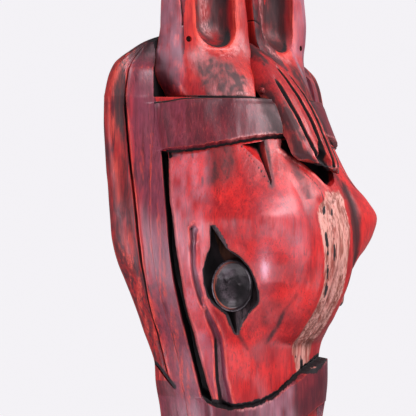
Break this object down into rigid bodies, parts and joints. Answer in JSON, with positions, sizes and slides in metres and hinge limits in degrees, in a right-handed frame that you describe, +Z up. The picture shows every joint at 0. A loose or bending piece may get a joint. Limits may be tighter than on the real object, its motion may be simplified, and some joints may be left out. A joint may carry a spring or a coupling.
{
  "type": "carved horse head mask",
  "caption": "Carved and painted wooden horse head mask with upright ears, forelock, bridle in relief and a hollow back that hangs flat on a wall.",
  "frame": {"origin": "on the flat back of the poll, on the centre line, in the plane that lies against the wall", "axes": "+Z up along the mask to the ear tips, the face looks along -Y, +Y points into the wall, -X is the mask's own right side"},
  "size_m": [0.2046, 0.1088, 0.42],
  "materials": {
    "face_paint": "red paint over carved wood, black wax in the cuts, semi-gloss varnish, bare wood stripe",
    "mane_paint": "plum red paint over carved wood, rubbed edges, semi-gloss varnish",
    "ear_paint": "red paint over carved wood, black wax in the hollows, semi-gloss varnish",
    "forelock_paint": "red paint, black grooves, semi-gloss varnish",
    "eye_paint": "near black paint, worn rim, satin",
    "dowel_wood": "bare turned wood",
    "nail_iron": "dark forged iron",
    "hanger_brass": "plated, dulled"
  },
  "bodies": {
    "mask": {"head_block": "face_paint", "mane_board_right": "mane_paint", "mane_board_left": "mane_paint", "ear_right": "ear_paint", "ear_left": "ear_paint", "forelock": "forelock_paint", "eye_disc_right": "eye_paint", "eye_disc_left": "eye_paint", "ear_dowel_right_inner": "dowel_wood", "ear_dowel_right_outer": "dowel_wood", "ear_dowel_left_inner": "dowel_wood", "ear_dowel_left_outer": "dowel_wood", "board_dowel_right_upper": "dowel_wood", "board_dowel_right_lower": "dowel_wood", "board_dowel_left_upper": "dowel_wood", "board_dowel_left_lower": "dowel_wood", "forelock_peg": "dowel_wood", "ear_nail_right": "nail_iron", "ear_nail_left": "nail_iron", "hanger_plate": "hanger_brass", "hanger_screw_upper": "hanger_brass", "hanger_screw_lower": "hanger_brass"},
    "ring": {"hanger_ring": "hanger_brass"}
  },
  "joints": [
    {"name": "hanger_ring_swing", "type": "hinge", "parent": "mask", "child": "ring", "pos_m": [0, -0.0035, -0.0416], "axis": [1, 0, 0], "range_deg": [-5, 170]}
  ]
}
